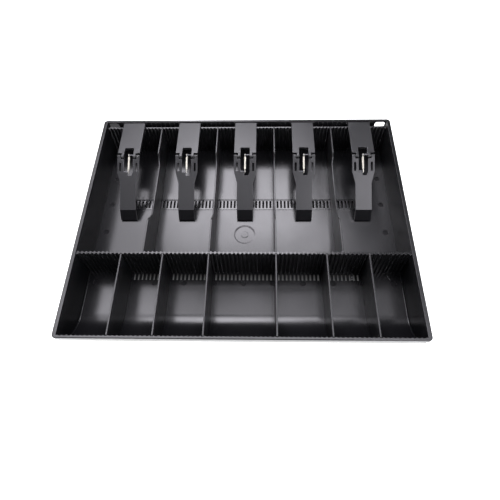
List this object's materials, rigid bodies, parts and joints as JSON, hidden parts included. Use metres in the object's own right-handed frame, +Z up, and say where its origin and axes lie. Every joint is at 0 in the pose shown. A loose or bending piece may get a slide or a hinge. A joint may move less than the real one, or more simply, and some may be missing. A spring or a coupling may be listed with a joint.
{
  "type": "cash drawer insert",
  "caption": "Black moulded till tray with toothed walls, lift-out dividers for coin and note bays, scooped coin fronts and sprung note clips.",
  "frame": {"origin": "middle of the tray's underside", "axes": "+X across the width to the right seen from the coin side, +Y from the coin bays to the back wall, +Z up"},
  "size_m": [0.368, 0.292, 0.048],
  "materials": {
    "abs_black": "satin moulded ABS",
    "divider_black": "satin moulded ABS",
    "clip_black": "fine satin moulded ABS",
    "spring_steel": "bright nickel-plated wire"
  },
  "bodies": {
    "tray": {"tray": "abs_black", "clip_base_1": "clip_black", "clip_base_2": "clip_black", "clip_base_3": "clip_black", "clip_base_4": "clip_black", "clip_base_5": "clip_black"},
    "bill_divider_1": {"bill_divider_1": "divider_black"},
    "bill_divider_2": {"bill_divider_2": "divider_black"},
    "bill_divider_3": {"bill_divider_3": "divider_black"},
    "bill_divider_4": {"bill_divider_4": "divider_black"},
    "coin_divider_1": {"coin_divider_1": "divider_black"},
    "coin_divider_2": {"coin_divider_2": "divider_black"},
    "coin_divider_3": {"coin_divider_3": "divider_black"},
    "coin_divider_4": {"coin_divider_4": "divider_black"},
    "coin_divider_5": {"coin_divider_5": "divider_black"},
    "coin_divider_6": {"coin_divider_6": "divider_black"},
    "clip_arm_1": {"clip_arm_1": "clip_black"},
    "clip_spring_1": {"clip_spring_1": "spring_steel"},
    "clip_arm_2": {"clip_arm_2": "clip_black"},
    "clip_spring_2": {"clip_spring_2": "spring_steel"},
    "clip_arm_3": {"clip_arm_3": "clip_black"},
    "clip_spring_3": {"clip_spring_3": "spring_steel"},
    "clip_arm_4": {"clip_arm_4": "clip_black"},
    "clip_spring_4": {"clip_spring_4": "spring_steel"},
    "clip_arm_5": {"clip_arm_5": "clip_black"},
    "clip_spring_5": {"clip_spring_5": "spring_steel"}
  },
  "joints": [
    {"name": "bill_divider_1_lift", "type": "slide", "parent": "tray", "child": "bill_divider_1", "axis": [0, 0, 1], "range_m": [0, 0.055]},
    {"name": "bill_divider_2_lift", "type": "slide", "parent": "tray", "child": "bill_divider_2", "axis": [0, 0, 1], "range_m": [0, 0.055]},
    {"name": "bill_divider_3_lift", "type": "slide", "parent": "tray", "child": "bill_divider_3", "axis": [0, 0, 1], "range_m": [0, 0.055]},
    {"name": "bill_divider_4_lift", "type": "slide", "parent": "tray", "child": "bill_divider_4", "axis": [0, 0, 1], "range_m": [0, 0.055]},
    {"name": "coin_divider_1_lift", "type": "slide", "parent": "tray", "child": "coin_divider_1", "axis": [0, 0, 1], "range_m": [0, 0.055]},
    {"name": "coin_divider_2_lift", "type": "slide", "parent": "tray", "child": "coin_divider_2", "axis": [0, 0, 1], "range_m": [0, 0.055]},
    {"name": "coin_divider_3_lift", "type": "slide", "parent": "tray", "child": "coin_divider_3", "axis": [0, 0, 1], "range_m": [0, 0.055]},
    {"name": "coin_divider_4_lift", "type": "slide", "parent": "tray", "child": "coin_divider_4", "axis": [0, 0, 1], "range_m": [0, 0.055]},
    {"name": "coin_divider_5_lift", "type": "slide", "parent": "tray", "child": "coin_divider_5", "axis": [0, 0, 1], "range_m": [0, 0.055]},
    {"name": "coin_divider_6_lift", "type": "slide", "parent": "tray", "child": "coin_divider_6", "axis": [0, 0, 1], "range_m": [0, 0.055]},
    {"name": "clip_arm_1_hinge", "type": "hinge", "parent": "tray", "child": "clip_arm_1", "pos_m": [-0.144, 0.0865, 0.04515], "axis": [-1, 0, 0], "range_deg": [0, 115], "stiffness_Nm_per_rad": 0.004, "springref_deg": -34.38},
    {"name": "clip_spring_1_swing", "type": "hinge", "parent": "tray", "child": "clip_spring_1", "pos_m": [-0.144, 0.0894, 0.04445], "axis": [-1, 0, 0], "range_deg": [0, 102]},
    {"name": "clip_arm_2_hinge", "type": "hinge", "parent": "tray", "child": "clip_arm_2", "pos_m": [-0.072, 0.0865, 0.04515], "axis": [-1, 0, 0], "range_deg": [0, 115], "stiffness_Nm_per_rad": 0.004, "springref_deg": -34.38},
    {"name": "clip_spring_2_swing", "type": "hinge", "parent": "tray", "child": "clip_spring_2", "pos_m": [-0.072, 0.0894, 0.04445], "axis": [-1, 0, 0], "range_deg": [0, 102]},
    {"name": "clip_arm_3_hinge", "type": "hinge", "parent": "tray", "child": "clip_arm_3", "pos_m": [0, 0.0865, 0.04515], "axis": [-1, 0, 0], "range_deg": [0, 115], "stiffness_Nm_per_rad": 0.004, "springref_deg": -34.38},
    {"name": "clip_spring_3_swing", "type": "hinge", "parent": "tray", "child": "clip_spring_3", "pos_m": [0, 0.0894, 0.04445], "axis": [-1, 0, 0], "range_deg": [0, 102]},
    {"name": "clip_arm_4_hinge", "type": "hinge", "parent": "tray", "child": "clip_arm_4", "pos_m": [0.072, 0.0865, 0.04515], "axis": [-1, 0, 0], "range_deg": [0, 115], "stiffness_Nm_per_rad": 0.004, "springref_deg": -34.38},
    {"name": "clip_spring_4_swing", "type": "hinge", "parent": "tray", "child": "clip_spring_4", "pos_m": [0.072, 0.0894, 0.04445], "axis": [-1, 0, 0], "range_deg": [0, 102]},
    {"name": "clip_arm_5_hinge", "type": "hinge", "parent": "tray", "child": "clip_arm_5", "pos_m": [0.144, 0.0865, 0.04515], "axis": [-1, 0, 0], "range_deg": [0, 115], "stiffness_Nm_per_rad": 0.004, "springref_deg": -34.38},
    {"name": "clip_spring_5_swing", "type": "hinge", "parent": "tray", "child": "clip_spring_5", "pos_m": [0.144, 0.0894, 0.04445], "axis": [-1, 0, 0], "range_deg": [0, 102]}
  ],
  "couplings": [
    {"joint": "clip_spring_1_swing", "follows": "clip_arm_1_hinge", "ratio": 0.881},
    {"joint": "clip_spring_2_swing", "follows": "clip_arm_2_hinge", "ratio": 0.881},
    {"joint": "clip_spring_3_swing", "follows": "clip_arm_3_hinge", "ratio": 0.881},
    {"joint": "clip_spring_4_swing", "follows": "clip_arm_4_hinge", "ratio": 0.881},
    {"joint": "clip_spring_5_swing", "follows": "clip_arm_5_hinge", "ratio": 0.881}
  ]
}
